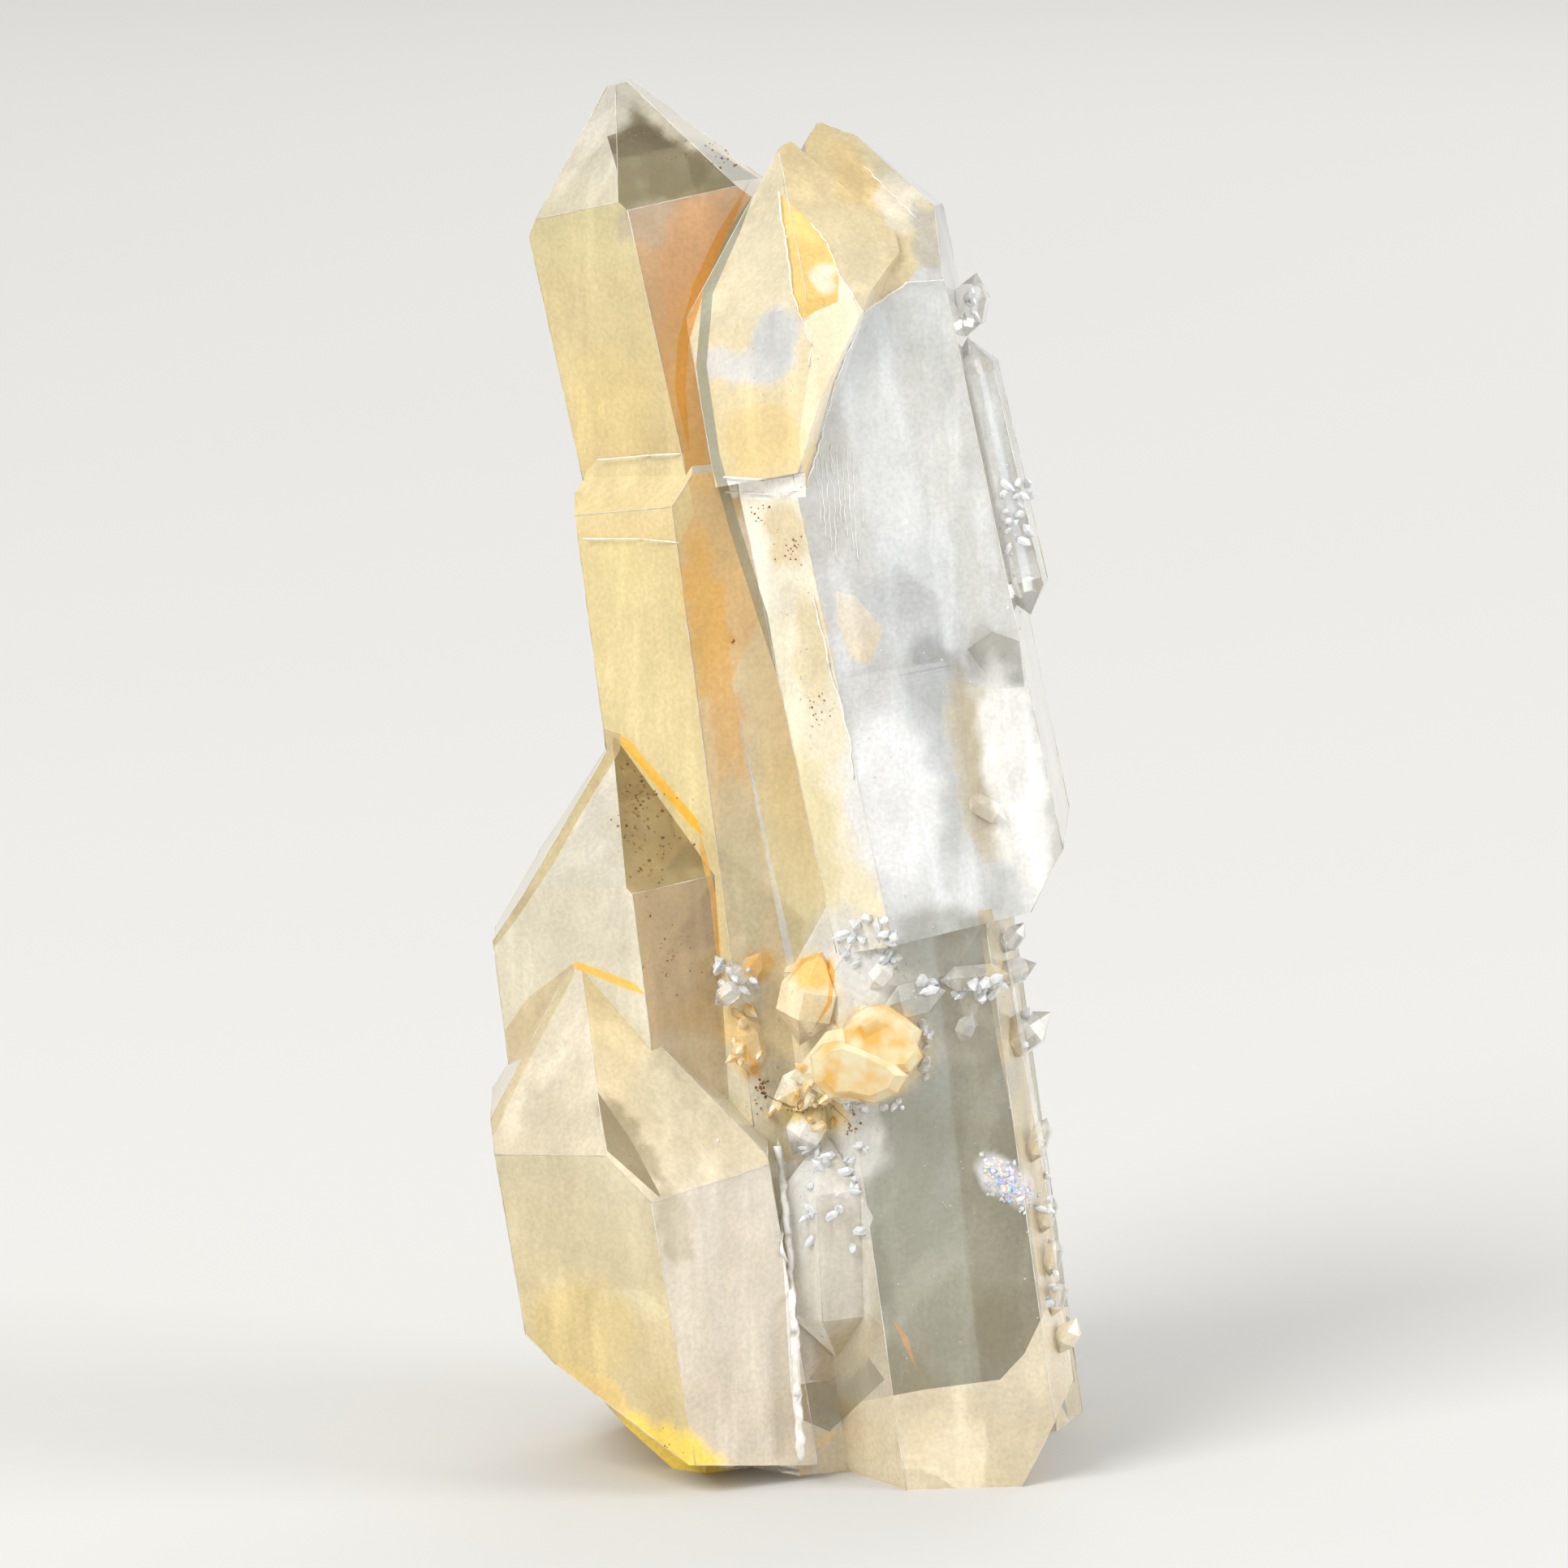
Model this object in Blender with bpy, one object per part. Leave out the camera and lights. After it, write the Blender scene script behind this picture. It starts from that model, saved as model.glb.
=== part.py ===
# A standing cluster of faden quartz: long crystals that grew side by side, joined in one solid.
# Metres, +Z up. The origin is the middle of the flat cut base, and -Y is the front.

import math

import bmesh
import bpy
from mathutils import Euler, Vector

mm = 0.001

# Quartz has six prism faces and six end faces, each of which leans in to the long axis.
prismSides = 6
endFaceAngle = math.radians(38.2)  # between an end face and the long axis

baseLevel = 0.0  # the cluster is sawn flat here
sawDepth = 20 * mm
sawReach = 80 * mm
blankReach = 40 * mm  # how far an uncut blank reaches from its axis

# Shifts every crystal so that the middle of the cluster's box stands on the origin.
centreShift = Vector((-0.36, 0.09, 0.0)) * mm

# Each long crystal: its point, the lean of its top to the right and towards the front,
# the turn of its first side from the front, then six sides counter-clockwise from above,
# starting at the front right: distance of the prism face from the axis, and how far the
# end face is set down the axis. All in millimetres and degrees.
tallLeft = {
    "tip": (-8.4, 6.0, 69.0), "lean": -12.5, "pitch": -5, "turn": 20, "length": 46,
    "sides": (6.0, 6.0, 5.8, 6.0, 5.5, 5.6), "drops": (0.0, 0.8, 0.8, 0.3, 0.9, 0.0),
    "chips": [((-8.3, 6.0, 67.6), (-0.25, 0.0, 1.0))],
}
tallLeftFoot = {
    "tip": (-5.0, 4.2, 56.6), "lean": -7.5, "pitch": -5, "turn": 22, "length": 70,
    "sides": (5.6, 6.0, 5.8, 6.0, 6.1, 6.3), "drops": (0.9, 0.0, 0.0, 0.0, 0.6, 1.4),
}
mainShaft = {
    "tip": (1.8, 4.0, 66.9), "lean": -12, "pitch": -6, "turn": 24, "length": 41,
    "sides": (5.8, 4.6, 4.4, 6.0, 7.0, 9.8), "drops": (1.7, 0.4, 0.8, 0.5, 0.5, 0.3),
    "chips": [((13.3, -2.0, 30.2), (0.88, 0.0, -0.48))],
}
kite = {
    "tip": (0.0, 1.9, 65.4), "lean": -10, "pitch": -8, "turn": 32, "length": 16.5,
    "sides": (6.2, 4.5, 5.0, 5.5, 6.3, 6.8), "drops": (0.5, 0.0, 0.0, 0.0, 0.2, 0.0),
    "chips": [((3.9, -4.5, 57.3), (0.93, -0.3, -0.3)),
              ((-0.4, 0.0, 64.7), (-0.45, 0.0, 1.0))],
}
frontRight = {
    "tip": (5.2, 0.4, 34.6), "lean": -8, "pitch": -6, "turn": 8, "length": 50,
    "sides": (6.4, 5.6, 2.0, 6.0, 8.0, 7.5), "drops": (0.0, 0.5, 0.5, 0.5, 0.5, 0.0),
    "chips": [((14.0, -6.0, 3.9), (0.9, -0.1, -0.44))],
}
rightBlade = {
    "tip": (9.8, 0.0, 42.5), "lean": -9.8, "pitch": -4, "turn": 20, "length": 16,
    "sides": (2.6, 1.6, 2.4, 2.6, 3.0, 2.6), "drops": (0.0, 0.0, 0.0, 0.0, 0.0, 0.0),
    "pointed": True,
    "chips": [((13.3, -2.0, 30.2), (0.88, 0.0, -0.48))],
}
rightSlab = {
    "tip": (9.0, 0.0, 55.6), "lean": -13, "pitch": -4, "turn": 20, "length": 14,
    "sides": (1.4, 1.1, 1.2, 1.4, 1.6, 1.4), "drops": (0.0, 0.0, 0.0, 0.0, 0.0, 0.0),
    "pointed": True,
}
midLeft = {
    "tip": (-7.6, 0.0, 36.4), "lean": -7, "pitch": 0, "turn": 30, "length": 50,
    "sides": (5.7, 3.6, 5.0, 5.0, 8.0, 6.4), "drops": (0.0, -0.4, 0.0, 0.0, -0.6, -1.2),
    "chips": [((-11.8, 0.0, 5.0), (-0.62, 0.0, -0.78)), ((-8.0, 0.0, 2.0), (-0.7, 0.0, -0.7))],
}
lowLeft = {
    "tip": (-10.0, -5.2, 26.0), "lean": -9, "pitch": 4, "turn": 30, "length": 50,
    "sides": (7.9, 7.6, 7.0, 6.5, 5.6, 6.1), "drops": (0.9, 0.9, 0.0, 0.0, 0.0, 0.8),
    "chips": [((-12.4, -6.0, 6.2), (-0.6, -0.2, -0.77)), ((-8.8, -8.0, 3.4), (-0.7, -0.15, -0.7)),
              ((-4.0, -10.0, 1.2), (0.0, -0.25, -0.97))],
}
backShaft = {
    "tip": (3.5, 7.5, 44.0), "lean": -8, "pitch": -3, "turn": 12, "length": 60,
    "sides": (4.6, 5.0, 4.4, 4.8, 5.2, 4.6), "drops": (0.0, 0.4, 0.0, 0.6, 0.0, 0.3),
}
backLeft = {
    "tip": (-4.6, 6.5, 30.0), "lean": -6, "pitch": -4, "turn": 25, "length": 45,
    "sides": (4.6, 5.0, 4.0, 4.4, 4.6, 4.6), "drops": (0.0, 0.0, 0.5, 0.0, 0.4, 0.0),
    "chips": [((-8.5, 6.0, 2.0), (-0.7, 0.0, -0.7))],
}

longCrystals = {
    "tall_left": tallLeft, "tall_left_foot": tallLeftFoot, "main_shaft": mainShaft,
    "kite": kite, "front_right": frontRight, "right_blade": rightBlade,
    "right_slab": rightSlab, "mid_left": midLeft, "low_left": lowLeft,
    "back_shaft": backShaft, "back_left": backLeft,
}


# Each small crystal is pointed at both ends and sits in the surface of a long one:
# its point, the lean and the pitch, its length and how far its prism faces are from its axis.
smallTurn = 15
smallCrystals = {
    "amber_point": ((1.8, -7.0, 26.3), 12, 6, 5.0, 1.4),
    "amber_stub": ((-2.0, -6.4, 23.0), -10, 4, 3.2, 0.7),
    "amber_slab": ((6.7, -8.3, 21.6), 78, 0, 6.6, 1.8),
    "amber_bead": ((-1.1, -5.8, 26.0), 32, 4, 2.2, 0.5),
    "clear_left_1": ((-2.7, -6.0, 25.6), -35, 8, 1.8, 0.45),
    "clear_left_2": ((-1.9, -6.0, 24.6), 50, 8, 2.0, 0.5),
    "clear_mid_1": ((4.4, -7.2, 27.0), -25, 10, 2.4, 0.6),
    "clear_mid_2": ((5.4, -7.6, 26.0), 40, 5, 2.0, 0.5),
    "clear_mid_3": ((7.9, -7.9, 24.5), 74, 4, 3.2, 0.8),
    "clear_mid_4": ((11.0, -7.4, 25.2), 84, 4, 3.4, 0.6),
    "clear_mid_5": ((9.2, -7.7, 23.4), 20, 4, 1.7, 0.45),
    "white_low_1": ((2.0, -7.2, 18.9), 30, 0, 3.2, 0.9),
    "yellow_low": ((2.7, -7.2, 20.4), 62, 0, 3.8, 1.0),
    "seam_wedge": ((2.0, -7.0, 17.2), -3, 3, 11.5, 2.0),
    "frosted_stub": ((10.9, -5.6, 32.5), 120, 0, 2.5, 0.5),
    "right_knob": ((9.5, 2.5, 58.5), 12, 0, 3.4, 0.85),
    "right_spur_1": ((12.0, 0.4, 47.5), 82, 0, 2.0, 0.35),
    "right_spur_2": ((11.8, -4.8, 27.3), 35, 0, 1.9, 0.45),
    "right_spur_3": ((12.4, -5.0, 25.3), 70, 0, 2.6, 0.6),
    "right_spur_4": ((13.1, -5.2, 22.9), 52, 0, 3.6, 0.9),
    "right_spur_5": ((12.9, -6.2, 17.8), 18, 0, 2.4, 0.45),
    "right_spur_6": ((13.2, -6.6, 14.0), 15, 0, 2.0, 0.4),
    "right_spur_7": ((13.4, -6.8, 11.9), 10, 0, 2.0, 0.4),
    "right_spur_8": ((13.7, -7.0, 9.9), 15, 0, 2.0, 0.4),
    "right_spur_9": ((14.4, -7.0, 7.9), 25, 0, 2.0, 0.55),
}


def makeCollection(name):
    collection = bpy.data.collections.new(name)
    bpy.context.scene.collection.children.link(collection)
    return collection


def cutAway(bm, point, normal):
    # Takes off what lies on the normal's side and closes the cut with one face.
    parts = bm.verts[:] + bm.edges[:] + bm.faces[:]
    cut = bmesh.ops.bisect_plane(bm, geom=parts, plane_co=point, plane_no=normal,
                                 clear_outer=True, dist=1e-7)
    rim = [item for item in cut["geom_cut"] if isinstance(item, bmesh.types.BMEdge)]
    if rim:
        bmesh.ops.contextual_create(bm, geom=rim)


def makeCrystal(name, spec, collection):
    bm = bmesh.new()
    bmesh.ops.create_cube(bm, size=2 * blankReach)
    tip = Vector(spec["tip"]) * mm + centreShift
    tilt = (Euler((0, math.radians(spec["lean"]), 0)).to_matrix()
            @ Euler((math.radians(spec["pitch"]), 0, 0)).to_matrix())
    axis = tilt @ Vector((0, 0, 1))
    length = spec["length"] * mm
    bmesh.ops.translate(bm, verts=bm.verts, vec=tip - axis * length / 2)
    foot = tip - axis * length
    for side, (reach, drop) in enumerate(zip(spec["sides"], spec["drops"])):
        around = math.radians(spec["turn"] + side * 360 / prismSides)
        outward = tilt @ Vector((math.sin(around), -math.cos(around), 0))
        cutAway(bm, tip + outward * reach * mm, outward)
        endNormal = outward * math.cos(endFaceAngle) + axis * math.sin(endFaceAngle)
        cutAway(bm, tip - axis * drop * mm, endNormal)
        if spec.get("pointed"):
            lowNormal = outward * math.cos(endFaceAngle) - axis * math.sin(endFaceAngle)
            cutAway(bm, foot + axis * drop * mm, lowNormal)
    if not spec.get("pointed"):
        cutAway(bm, foot, -axis)
    for point, normal in spec.get("chips", []):
        cutAway(bm, Vector(point) * mm + centreShift, Vector(normal).normalized())
    bmesh.ops.recalc_face_normals(bm, faces=bm.faces)
    mesh = bpy.data.meshes.new(name)
    bm.to_mesh(mesh)
    bm.free()
    crystal = bpy.data.objects.new(name, mesh)
    collection.objects.link(crystal)
    return crystal


def asCutter(tool):
    tool.hide_render = True
    tool.display_type = "WIRE"


def quartzMaterial():
    material = bpy.data.materials.new("clear_quartz")
    material.use_nodes = True
    shader = material.node_tree.nodes["Principled BSDF"]
    shader.inputs["Base Color"].default_value = (0.86, 0.78, 0.60, 1)
    shader.inputs["Roughness"].default_value = 0.08
    shader.inputs["Metallic"].default_value = 0.0
    shader.inputs["IOR"].default_value = 1.544
    shader.inputs["Transmission Weight"].default_value = 0.8
    return material


def main():
    for item in list(bpy.data.objects):
        bpy.data.objects.remove(item, do_unlink=True)
    parts = makeCollection("faden_quartz")
    tools = makeCollection("cutters")
    grown = makeCollection("grown_crystals")

    cluster = makeCrystal("quartz_cluster", mainShaft, parts)
    cluster.data.materials.append(quartzMaterial())
    for name, spec in longCrystals.items():
        if spec is not mainShaft:
            asCutter(makeCrystal(name, spec, grown))

    for name, (tip, lean, pitch, length, reach) in smallCrystals.items():
        spec = {"tip": tip, "lean": lean, "pitch": pitch, "turn": smallTurn, "length": length,
                "sides": (reach,) * prismSides, "drops": (0,) * prismSides, "pointed": True}
        asCutter(makeCrystal(name, spec, grown))

    together = cluster.modifiers.new("grown_together", "BOOLEAN")
    together.operation = "UNION"
    together.solver = "EXACT"
    together.operand_type = "COLLECTION"
    together.collection = grown

    bpy.ops.mesh.primitive_cube_add(size=1, location=(0, 0, baseLevel - sawDepth))
    saw = bpy.context.active_object
    saw.name = "saw_cut"
    saw.scale = (sawReach, sawReach, 2 * sawDepth)
    for collection in list(saw.users_collection):
        collection.objects.unlink(saw)
    tools.objects.link(saw)
    asCutter(saw)
    flat = cluster.modifiers.new("flat_base", "BOOLEAN")
    flat.operation = "DIFFERENCE"
    flat.solver = "EXACT"
    flat.object = saw


main()
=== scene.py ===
import math
import random

import bmesh
import bpy
import numpy as np
from mathutils import Matrix, Vector, noise
from mathutils.bvhtree import BVHTree


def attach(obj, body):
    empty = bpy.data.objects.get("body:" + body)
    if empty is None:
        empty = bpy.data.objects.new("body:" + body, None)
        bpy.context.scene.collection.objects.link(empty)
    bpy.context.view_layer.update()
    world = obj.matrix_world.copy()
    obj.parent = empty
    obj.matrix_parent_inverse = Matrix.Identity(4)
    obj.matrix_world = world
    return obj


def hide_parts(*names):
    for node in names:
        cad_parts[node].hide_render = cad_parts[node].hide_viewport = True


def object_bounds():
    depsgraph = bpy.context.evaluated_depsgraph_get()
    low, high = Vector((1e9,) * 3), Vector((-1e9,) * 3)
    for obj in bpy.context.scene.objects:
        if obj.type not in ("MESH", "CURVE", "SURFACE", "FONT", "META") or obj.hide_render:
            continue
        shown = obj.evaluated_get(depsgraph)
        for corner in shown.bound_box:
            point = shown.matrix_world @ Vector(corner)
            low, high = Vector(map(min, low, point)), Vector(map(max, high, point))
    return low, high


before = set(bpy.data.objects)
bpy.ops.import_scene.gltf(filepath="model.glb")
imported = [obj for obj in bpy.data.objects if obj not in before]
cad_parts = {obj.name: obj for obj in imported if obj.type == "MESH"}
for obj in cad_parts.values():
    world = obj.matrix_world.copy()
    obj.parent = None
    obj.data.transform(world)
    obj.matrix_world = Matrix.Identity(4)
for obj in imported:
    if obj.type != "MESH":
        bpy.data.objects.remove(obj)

cadLow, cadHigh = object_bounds()
scene = bpy.context.scene
mm = 0.001
quartzIor = 1.544


def linear(tone):
    # Turns an sRGB hex colour into the linear colour that the shaders take.
    code = tone.lstrip("#")
    values = [int(code[i:i + 2], 16) / 255 for i in (0, 2, 4)]
    return tuple(v / 12.92 if v <= 0.04045 else ((v + 0.055) / 1.055) ** 2.4 for v in values)


# The camera: the photograph's frame is 1932 pixels wide and shows 0.04 mm in each pixel.
photo = {"size": 1932, "middle": 966, "pixel": 0.04 * mm}
view = {"elevation": math.radians(10), "distance": 420 * mm, "sensor": 36, "clip": (0.01, 20),
        "target": Vector((-0.36, -1.91, 33.7)) * mm}
towards = Vector((0, math.cos(view["elevation"]), -math.sin(view["elevation"])))
eye = view["target"] - towards * view["distance"]


def makeCamera():
    data = bpy.data.cameras.new("camera")
    data.sensor_width = view["sensor"]
    seen = photo["size"] * photo["pixel"]
    data.lens = view["sensor"] * view["distance"] / seen
    data.clip_start, data.clip_end = view["clip"]
    camera = bpy.data.objects.new("camera", data)
    camera.location = eye
    camera.rotation_euler = towards.to_track_quat("-Z", "Y").to_euler()
    scene.collection.objects.link(camera)
    scene.camera = camera


def rayThrough(x, y):
    # The direction from the eye through a pixel of the photograph.
    step = photo["pixel"]
    right = Vector((1, 0, 0))
    up = right.cross(towards)
    away = right * (x - photo["middle"]) * step - up * (y - photo["middle"]) * step
    return (towards * view["distance"] + away).normalized()


def onPhoto(co):
    # The pixels of the photograph where places fall.
    offset = np.asarray(co) - np.array(eye)
    ahead = offset @ np.array(towards)
    step = photo["pixel"] / view["distance"]
    up = np.cross((1, 0, 0), towards)
    return (photo["middle"] + offset[:, 0] / ahead / step,
            photo["middle"] - offset @ up / ahead / step)


def makeNode(tree, kind, settings=None, **links):
    # Adds a shader node. Each input is named, or given as i0, i1 and so on, and gets a value, a
    # socket or a node's first output.
    node = tree.nodes.new("ShaderNode" + kind)
    for name, value in (settings or {}).items():
        setattr(node, name, value)
    for name, value in links.items():
        numbered = name[0] == "i" and name[1:].isdigit()
        socket = node.inputs[int(name[1:])] if numbered else node.inputs[name.replace("_", " ")]
        if isinstance(value, bpy.types.Node):
            value = value.outputs[0]
        if isinstance(value, bpy.types.NodeSocket):
            tree.links.new(value, socket)
        else:
            socket.default_value = value
    return node


def newMaterial(name, roughness, ior=quartzIor):
    material = bpy.data.materials.new(name)
    material.use_nodes = True
    shader = material.node_tree.nodes["Principled BSDF"]
    shader.inputs["Roughness"].default_value = roughness
    shader.inputs["IOR"].default_value = ior
    return material, material.node_tree, shader


# A plain studio: a pale floor with its roughness and IOR, a pale sky, and soft lights given as
# place, size and power.
studio = {"floor": "#CAC9C6", "floor size": 8, "floor surface": (0.9, 1.5), "sky": "#F4F4F3",
          "sky strength": 0.84, "aim": (0, 0, 0.035)}
lights = {"key": ((-0.55, -0.55, 0.75), (0.5, 0.5), 8.2), "fill": ((0.85, -0.15, 0.35), (0.4, 0.6), 4.2),
          "back": ((0.25, 0.8, 0.55), (0.8, 0.5), 2.2)}


def makeFloor():
    bpy.ops.mesh.primitive_plane_add(size=studio["floor size"])
    floor = bpy.context.active_object
    floor.name = "floor"
    # Matte paper: rough and without gloss, so the eye sees only the soft shadow on it.
    material, tree, shader = newMaterial("matte_paper", *studio["floor surface"])
    shader.inputs["Base Color"].default_value = (*linear(studio["floor"]), 1)
    floor.data.materials.append(material)


def makeLights():
    scene.view_settings.view_transform = "Standard"
    world = bpy.data.worlds.new("studio")
    scene.world = world
    world.use_nodes = True
    sky = world.node_tree.nodes["Background"]
    sky.inputs["Color"].default_value = (*linear(studio["sky"]), 1)
    sky.inputs["Strength"].default_value = studio["sky strength"]
    for name, (place, size, power) in lights.items():
        data = bpy.data.lights.new(name, "AREA")
        data.shape = "RECTANGLE"
        data.size, data.size_y = size
        data.energy = power
        light = bpy.data.objects.new(name, data)
        light.location = place
        light.rotation_euler = (Vector(studio["aim"]) - Vector(place)).to_track_quat("-Z", "Y").to_euler()
        scene.collection.objects.link(light)


makeCamera()
makeFloor()
makeLights()
print("stage and camera made")


def meshFrom(name, verts, faces, smooth=False):
    mesh = bpy.data.meshes.new(name)
    mesh.from_pydata(verts, [], faces)
    mesh.polygons.foreach_set("use_smooth", [smooth] * len(faces))
    return mesh


def addPiece(name, mesh, material):
    mesh.materials.append(material)
    piece = bpy.data.objects.new(name, mesh)
    scene.collection.objects.link(piece)
    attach(piece, "root")
    print(f"{name} made: {len(mesh.polygons)} faces")
    return piece


# The solid's cut faces: how near points are welded, how flat a face is, and the area in square
# metres under which it belongs to a small crystal.
facets = {"weld": 1e-6, "flat": math.radians(0.4), "small": 7e-6}


def readFacets():
    # Each cut face of the solid becomes one flat polygon, so that it can carry its own look.
    bm = bmesh.new()
    bm.from_mesh(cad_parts["quartz_cluster"].data)
    bmesh.ops.remove_doubles(bm, verts=bm.verts, dist=facets["weld"])
    bmesh.ops.dissolve_limit(bm, angle_limit=facets["flat"], verts=bm.verts, edges=bm.edges)
    bm.faces.ensure_lookup_table()
    facet = bm.faces.layers.int.new("facet")
    for face in bm.faces:
        face[facet] = face.index
    return bm


coarse = readFacets()
facetTree = BVHTree.FromBMesh(coarse)


def touch(x, y):
    # Where the ray through a pixel meets the solid: place, normal, facet.
    place, normal, index, away = facetTree.ray_cast(eye, rayThrough(x, y))
    return place, normal, index


def splitEdges(co, tris, tags, ends, spots):
    # Puts a new point on each of the edges and splits the triangles beside them to match.
    order = np.argsort(ends[:, 0] * len(co) + ends[:, 1])
    ends, spots = ends[order], spots[order]
    keys = ends[:, 0] * len(co) + ends[:, 1]
    pairs = np.sort(np.stack([tris, np.roll(tris, -1, 1)], 2), 2)
    wanted = pairs[..., 0] * len(co) + pairs[..., 1]
    found = np.clip(np.searchsorted(keys, wanted), 0, len(keys) - 1)
    mids = np.where(keys[found] == wanted, found + len(co), -1)
    co = np.vstack([co, spots])
    count = (mids >= 0).sum(1)
    made, kept = [tris[count == 0]], [tags[count == 0]]

    def turned(chosen, start):
        column = (start[:, None] + np.arange(3)) % 3
        return (np.take_along_axis(values[chosen], column, 1).T for values in (tris, mids))

    def add(chosen, *corners):
        made.append(np.stack(corners, 1))
        kept.append(tags[chosen])

    one = np.flatnonzero(count == 1)
    (a, b, c), (m, *rest) = turned(one, np.argmax(mids[one] >= 0, 1))
    add(one, a, m, c)
    add(one, m, b, c)
    two = np.flatnonzero(count == 2)
    (a, b, c), (m, n, rest) = turned(two, (np.argmax(mids[two] < 0, 1) + 1) % 3)
    add(two, m, b, n)
    across = np.linalg.norm(co[a] - co[n], axis=1) < np.linalg.norm(co[m] - co[c], axis=1)
    add(two, a, m, np.where(across, n, c))
    add(two, np.where(across, a, m), n, c)
    three = np.flatnonzero(count == 3)
    (a, b, c), (m, n, o) = tris[three].T, mids[three].T
    add(three, a, m, o)
    add(three, m, b, n)
    add(three, o, n, c)
    add(three, m, n, o)
    return co, np.vstack(made), np.vstack(kept)


def normalsOf(co, tris):
    across = np.cross(co[tris[:, 1]] - co[tris[:, 0]], co[tris[:, 2]] - co[tris[:, 0]])
    return across / np.maximum(np.linalg.norm(across, axis=1, keepdims=True), 1e-20)


def facesEye(co, tris, least):
    return normalsOf(co, tris) @ np.array(towards) < -least


def splitLong(co, tris, tags, lengths):
    # Splits edges until none is longer than the detail size of its side: seen, then unseen.
    seen, unseen = (length * mm for length in lengths)
    for turn in range(20):
        limit = np.where(facesEye(co, tris, -0.02), seen, unseen)[:, None]
        ends = np.stack([tris, np.roll(tris, -1, 1)], 2)
        length = np.linalg.norm(co[ends[..., 0]] - co[ends[..., 1]], axis=2)
        chosen = np.unique(np.sort(ends[length > limit], 1), axis=0)
        if not len(chosen):
            break
        co, tris, tags = splitEdges(co, tris, tags, chosen, co[chosen].mean(1))
    return co, tris, tags


def inside(outline, x, y):
    hit = np.zeros(len(x), bool)
    for (ax, ay), (bx, by) in zip(outline, outline[1:] + outline[:1]):
        if ay != by:
            hit ^= ((ay > y) != (by > y)) & (x < ax + (y - ay) / (by - ay) * (bx - ax))
    return hit


# How an outline is cut: pixels searched around it, least distance in metres from an old point
# to a new one, how far a face turns to the eye, and from how deep it counts as hidden.
cutting = {"margin": 1, "clearance": 2e-6, "facing": 0.03, "hidden": 0.4 * mm}


def cutOutlines(co, tris, tags, outlines):
    # Cuts outlines, drawn in photo pixels, into the faces that the camera sees behind them,
    # so that colours can change along a crisp line. The last one to cover a face owns it.
    margin = cutting["margin"]
    for number, outline in enumerate(outlines):
        for (ax, ay), (bx, by) in zip(outline, outline[1:] + outline[:1]):
            side = np.array(rayThrough(ax, ay).cross(rayThrough(bx, by)).normalized())
            x, y = onPhoto(co)
            x, y = x[tris], y[tris]
            near = ((x.min(1) < max(ax, bx) + margin) & (x.max(1) > min(ax, bx) - margin)
                    & (y.min(1) < max(ay, by) + margin) & (y.max(1) > min(ay, by) - margin)
                    & facesEye(co, tris, cutting["facing"]))
            sides = np.stack([tris[near], np.roll(tris[near], -1, 1)], 2).reshape(-1, 2)
            ends = np.unique(np.sort(sides, 1), axis=0)
            away = (co[ends] - np.array(eye)) @ side
            crossed = (away.prod(1) < 0) & (np.abs(away).min(1) > cutting["clearance"])
            ends, away = ends[crossed], away[crossed]
            if len(ends):
                part = (away[:, 0] / (away[:, 0] - away[:, 1]))[:, None]
                spots = co[ends[:, 0]] * (1 - part) + co[ends[:, 1]] * part
                co, tris, tags = splitEdges(co, tris, tags, ends, spots)
        middle = co[tris].mean(1)
        x, y = onPhoto(middle)
        covered = inside(outline, x, y) & facesEye(co, tris, cutting["facing"])
        for i in np.flatnonzero(covered):
            place = Vector(middle[i])
            hit = facetTree.ray_cast(eye, (place - eye).normalized())[0]
            if hit is not None and (hit - place).length < cutting["hidden"]:
                tags[i, 1] = number + 1
    return co, tris, tags


def bandAround(points, width):
    # The outline of a band of one width, pointed at both ends, along some points.
    left, right = [], []
    for (ax, ay), (x, y), (bx, by) in zip(points, points[1:], points[2:]):
        length = math.hypot(bx - ax, by - ay)
        nx, ny = (ay - by) / length * width / 2, (bx - ax) / length * width / 2
        left.append((x + nx, y + ny))
        right.append((x - nx, y - ny))
    return [points[0]] + left + [points[-1]] + right[::-1]


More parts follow.
